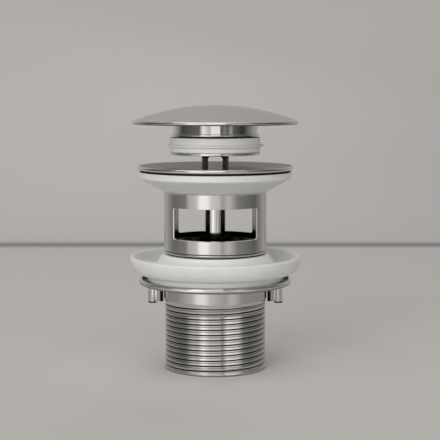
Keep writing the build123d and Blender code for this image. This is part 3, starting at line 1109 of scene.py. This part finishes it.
def make_return_spring():
    floor, top = low("return_spring"), high("return_spring")
    radius = reach("return_spring") - spring_wire
    first, last = floor + spring_wire, top - spring_wire
    turns = spring_turns + 2
    climb = (last - first - 2 * closed_rise) / spring_turns
    bm = bmesh.new()
    rings = []
    for step in range(turns * coil_steps + 1):
        turn = step / coil_steps
        height = first + closed_rise * min(turn, 1)
        height += climb * min(max(turn - 1, 0), spring_turns)
        height += closed_rise * max(turn - 1 - spring_turns, 0)
        angle = 2 * math.pi * turn
        out = Vector((math.cos(angle), math.sin(angle), 0))
        centre = out * radius + Vector((0, 0, height))
        ring = []
        for side in range(wire_sides):
            around = 2 * math.pi * side / wire_sides
            way = out * math.cos(around) + Vector((0, 0, math.sin(around)))
            ring.append(bm.verts.new((centre + way * spring_wire) * MM))
        rings.append(ring)
    for before, after in zip(rings, rings[1:]):
        for side in range(wire_sides):
            beside = (side + 1) % wire_sides
            bm.faces.new((before[side], before[beside], after[beside], after[side]))
    bm.faces.new(rings[0])
    bm.faces.new(rings[-1])
    piece = to_object("return_spring_coil", bm)
    dress(piece, "return_spring")
    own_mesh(piece)


make_return_spring()


# Stage: pale seamless floor and backdrop with painted light and shade, studio light and the camera

floor_color = (0.54, 0.526, 0.506)
paper_roughness = 0.85
paper_clouds = 14
paper_gloss = 6
floor_half = 1.6
floor_front = 1.4
wall_distance = 0.75
wall_bend = 0.33
wall_height = 1.3
seam_distance = 0.402
seam_width = 0.023
seam_shade = 0.34
far_shade = 0.9
wall_shade = 0.93
wall_fade = 0.05
side_reach = 0.16
side_shade = 0.81
side_low = 0.05
side_high = 0.14
near_first = 0.03
near_last = 0.075
near_shade = 1.12


def make_stage():
    """One sheet that runs along the floor, bends up behind the object and ends above the view."""
    bend = arc((wall_distance - wall_bend, wall_bend), (wall_bend, wall_bend), -90, 0, steps=24)
    line = [Vector((-floor_front, 0))] + bend + [Vector((wall_distance, wall_height))]
    vertices = [(side * floor_half, p.x, p.y) for p in line for side in (-1, 1)]
    faces = [(2 * i, 2 * i + 1, 2 * i + 3, 2 * i + 2) for i in range(len(line) - 1)]
    mesh = bpy.data.meshes.new("stage")
    mesh.from_pydata(vertices, [], faces)
    mesh.shade_smooth()
    stage = bpy.data.objects.new("stage", mesh)
    bpy.context.scene.collection.objects.link(stage)
    material, shader = new_material("stage_paper", floor_color, 0.0, paper_roughness)
    clouds = noise(material, paper_clouds)
    tint(material, clouds, shade(floor_color, 0.975), shade(floor_color, 1.015),
         shader.inputs["Base Color"])
    spread(material, noise(material, paper_gloss), 0.8, 0.9, shader.inputs["Roughness"])
    place = add_node(material, "ShaderNodeTexCoord")
    split = add_node(material, "ShaderNodeSeparateXYZ")
    link(material, place.outputs["Object"], split.inputs[0])
    back = split.outputs["Y"]
    far = mapped(material, back, 0, seam_distance, 0, 1)
    wall = mapped(material, back, seam_distance, seam_distance + wall_fade, 0, 1)
    side = both(
        material, mapped(material, split.outputs["X"], -side_reach, side_reach, 0, 1),
        mapped(material, split.outputs["Z"], side_low, side_high, 1, 0),
    )
    radius, _ = axis_place(material)
    near = mapped(material, radius, near_first, near_last, 1, 0)
    seam = both(
        material,
        mapped(material, back, seam_distance - seam_width, seam_distance, 0, 1),
        mapped(material, back, seam_distance, seam_distance + seam_width, 1, 0),
    )
    # Painted shade: the floor darker towards the back
    overlay(material, far, shade(floor_color, far_shade), 0.9)
    # Painted shade on the backdrop
    overlay(material, wall, shade(floor_color, wall_shade), 0.9)
    # Painted shade, darker towards the right and fading out up the backdrop
    overlay(material, both(material, far, side), shade(floor_color, side_shade), 0.9)
    # Painted shadow, a dark line where the floor meets the backdrop
    overlay(material, seam, shade(floor_color, seam_shade), 0.9)
    # Painted light on the floor round the base, lightening the object's shadow there
    overlay(material, near, shade(floor_color, near_shade), 0.85)
    mesh.materials.append(material)


make_stage()


def soft_box(name, azimuth, elevation, distance, size, strength, glossy=True, aim=0.06):
    """Area light round the object. Azimuth 0 is the camera's side, and positive is to its right."""
    a, e = math.radians(azimuth), math.radians(elevation)
    way = Vector((math.sin(a) * math.cos(e), -math.cos(a) * math.cos(e), math.sin(e)))
    lamp = bpy.data.lights.new(name, "AREA")
    lamp.shape = "RECTANGLE"
    lamp.size, lamp.size_y = size
    lamp.energy = strength * math.pi * size[0] * size[1]
    holder = bpy.data.objects.new(name, lamp)
    holder.visible_glossy = glossy
    holder.location = Vector((0, 0, aim)) + way * distance
    holder.rotation_mode = "QUATERNION"
    holder.rotation_quaternion = (-way).to_track_quat("-Z", "Y")
    bpy.context.scene.collection.objects.link(holder)


soft_box("key_box", -30, 22, 2.0, (1.1, 0.9), 3.4)
soft_box("low_box", -8, 4, 2.2, (2.4, 0.36), 3.6)
soft_box("fill_box", 42, 18, 2.0, (1.6, 1.3), 0.45)
soft_box("top_box", -30, 74, 1.4, (1.6, 1.4), 0.9)
soft_box("back_box", 165, 35, 0.62, (0.5, 0.4), 1.0, glossy=False)


card_step = 3
# Glowing curved sheets that show only in reflections, painted reflections with no lamp: their
# radius, bottom and top, then azimuth and glow at a few places along each
PAINTED_REFLECTIONS = {
    "thread_painted_reflection": (0.03, 0.0, 0.0215, (
        (-111, 0.42), (-60, 0.20), (-47, 0.22), (-36, 0.70), (-26, 0.76), (-18, 1.55), (-8, 0.86),
        (7, 0.76), (11, 0.34), (18, 1.25), (36, 0.95), (45, 0.28), (60, 0.20), (111, 0.40),
    )),
    "band_painted_reflection": (0.05, 0.0215, 0.034, (
        (-132, 0.28), (-75, 0.33), (-42, 0.64), (-30, 1.10), (-18, 1.05), (-8, 0.68), (17, 0.46),
        (28, 0.65), (36, 0.60), (50, 0.36), (119, 0.30),
    )),
    "tube_painted_reflection": (0.11, 0.030, 0.088, (
        (-135, 0.50), (-97, 0.18), (-62, 0.26), (-56, 0.58), (-38, 0.70), (-30, 1.25), (-16, 1.20),
        (-8, 0.78), (8, 0.66), (14, 0.40), (27, 0.66), (46, 0.26), (90, 0.14), (130, 0.45),
    )),
    "plug_painted_reflection": (0.11, 0.088, 0.17, (
        (-130, 0.45), (-93, 0.06), (-40, 0.15), (-30, 1.00), (-14, 0.50), (-8, 1.00), (11, 0.93),
        (14, 0.08), (25, 0.24), (32, 0.10), (40, 0.42), (46, 0.12), (75, 0.03), (130, 0.40),
    )),
}
WARMTH = (1.0, 0.975, 0.94)


def glow_at(stops, azimuth):
    for (first, before), (last, after) in zip(stops, stops[1:]):
        if azimuth <= last:
            return before + (after - before) * (azimuth - first) / (last - first)
    return stops[-1][1]


def make_painted_reflection(name, radius, bottom, top, stops):
    """Glowing curved sheet round the object, graded from dark to bright, that shows only in
    reflections: a painted reflection, not a lamp.
    """
    steps = range(stops[0][0], stops[-1][0], card_step)
    turns = sorted({azimuth for azimuth, _ in stops} | set(steps))
    spots = [(math.sin(math.radians(turn)), -math.cos(math.radians(turn))) for turn in turns]
    vertices = [(radius * x, radius * y, z) for x, y in spots for z in (bottom, top)]
    faces = [(2 * i, 2 * i + 2, 2 * i + 3, 2 * i + 1) for i in range(len(turns) - 1)]
    mesh = bpy.data.meshes.new(name)
    mesh.from_pydata(vertices, [], faces)
    glow = mesh.color_attributes.new("glow", "FLOAT_COLOR", "POINT")
    for i, turn in enumerate(turns):
        color = (*shade(WARMTH, glow_at(stops, turn)), 1)
        glow.data[2 * i].color = glow.data[2 * i + 1].color = color
    reflection_sheet = bpy.data.objects.new(name, mesh)
    bpy.context.scene.collection.objects.link(reflection_sheet)
    material, shader = new_material(name, (0, 0, 0), 0.0, 1.0)
    shader.inputs["Specular IOR Level"].default_value = 0.0
    shader.inputs["Emission Strength"].default_value = 1.0
    source = add_node(material, "ShaderNodeVertexColor", layer_name="glow")
    link(material, source.outputs["Color"], shader.inputs["Emission Color"])
    mesh.materials.append(material)
    reflection_sheet.visible_camera = reflection_sheet.visible_diffuse = reflection_sheet.visible_shadow = False
    reflection_sheet.visible_transmission = reflection_sheet.visible_volume_scatter = False


for name, shape in PAINTED_REFLECTIONS.items():
    make_painted_reflection(name, *shape)

world_color = (0.72, 0.71, 0.69, 1)
world_strength = 0.54
world = bpy.data.worlds.new("studio")
world.use_nodes = True
world.node_tree.nodes["Background"].inputs["Color"].default_value = world_color
world.node_tree.nodes["Background"].inputs["Strength"].default_value = world_strength
bpy.context.scene.world = world

camera_place = (0.0019, -0.484, 0.1094)
camera_pitch = 5.866
camera_lens = 98.75


def make_camera():
    camera = bpy.data.cameras.new("camera")
    camera.lens = camera_lens
    camera.sensor_width = 36
    camera.clip_start = 0.01
    holder = bpy.data.objects.new("camera", camera)
    holder.location = camera_place
    holder.rotation_euler = (math.radians(90 - camera_pitch), 0, 0)
    bpy.context.scene.collection.objects.link(holder)
    bpy.context.scene.camera = holder


make_camera()
bpy.context.scene.view_settings.view_transform = "Standard"
